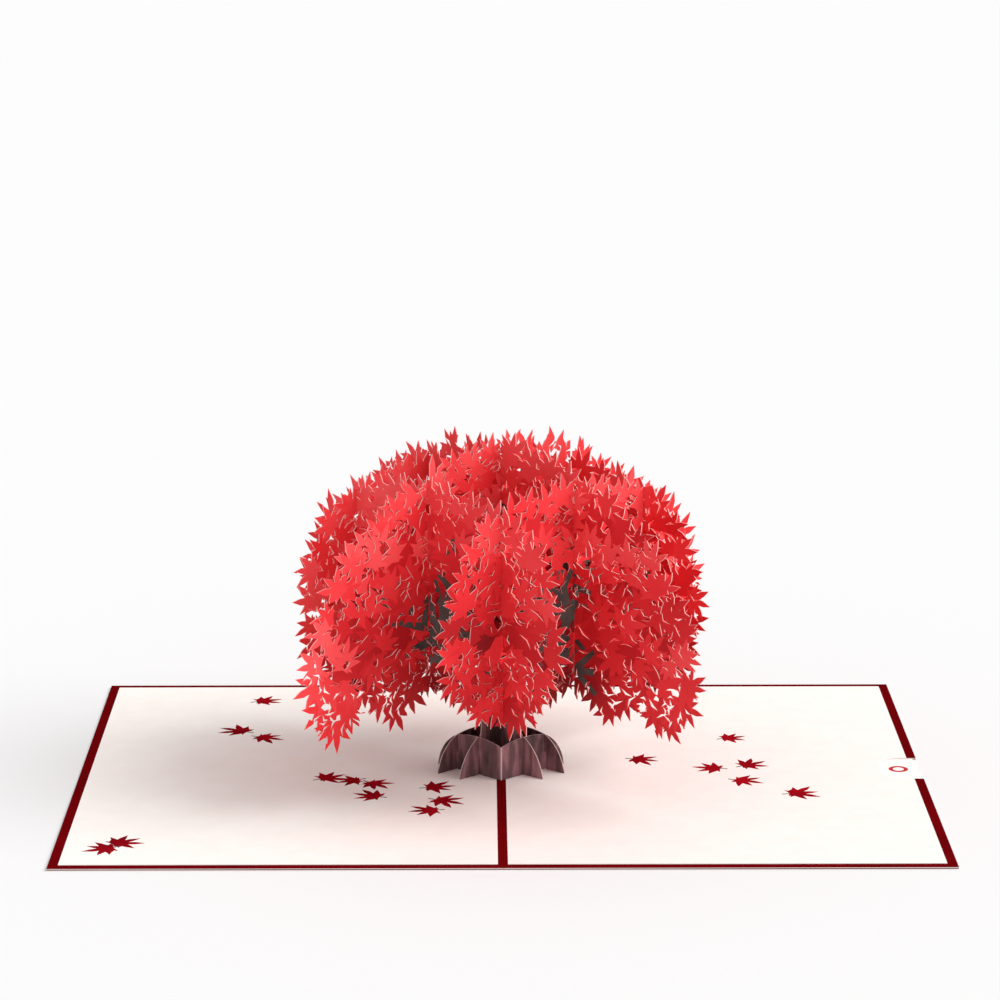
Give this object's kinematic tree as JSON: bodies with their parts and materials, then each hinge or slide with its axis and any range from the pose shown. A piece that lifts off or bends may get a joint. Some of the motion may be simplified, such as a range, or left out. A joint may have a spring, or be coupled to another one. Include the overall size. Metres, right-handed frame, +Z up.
{
  "type": "pop up greeting card",
  "caption": "Greeting card lying open with a slotted paper maple tree standing over the spine and a pull-out note card in its right half",
  "frame": {"origin": "underside of the card at the middle of the spine", "axes": "X runs across the spine towards the note pocket, Y along the spine towards the back edge, Z is up"},
  "size_m": [0.254, 0.178, 0.1043],
  "materials": {
    "cover_card": "matt maroon printed card",
    "border_print": "matt dark red printed card",
    "liner_paper": "matt cream paper",
    "glue_tape": "white double-sided tape",
    "note_paper": "smooth white paper",
    "leaf_print": "red printed card with pale cut edges",
    "bark_print": "mauve-brown bark print on card"
  },
  "bodies": {
    "card": {"cover": "cover_card", "inner_sheet": "border_print", "left_liner": "liner_paper", "right_liner": "liner_paper", "left_glue_frame": "glue_tape", "pocket_glue_strip": "glue_tape", "foliage_a_left": "leaf_print", "foliage_a_middle": "leaf_print", "foliage_a_right": "leaf_print", "foliage_b_left": "leaf_print", "foliage_b_middle": "leaf_print", "foliage_b_right": "leaf_print", "front_root_fold": "bark_print", "back_root_fold": "bark_print"},
    "note": {"note_card": "note_paper"}
  },
  "joints": [
    {"name": "note_slide", "type": "slide", "parent": "card", "child": "note", "axis": [1, 0, 0], "range_m": [0, 0.112]}
  ]
}
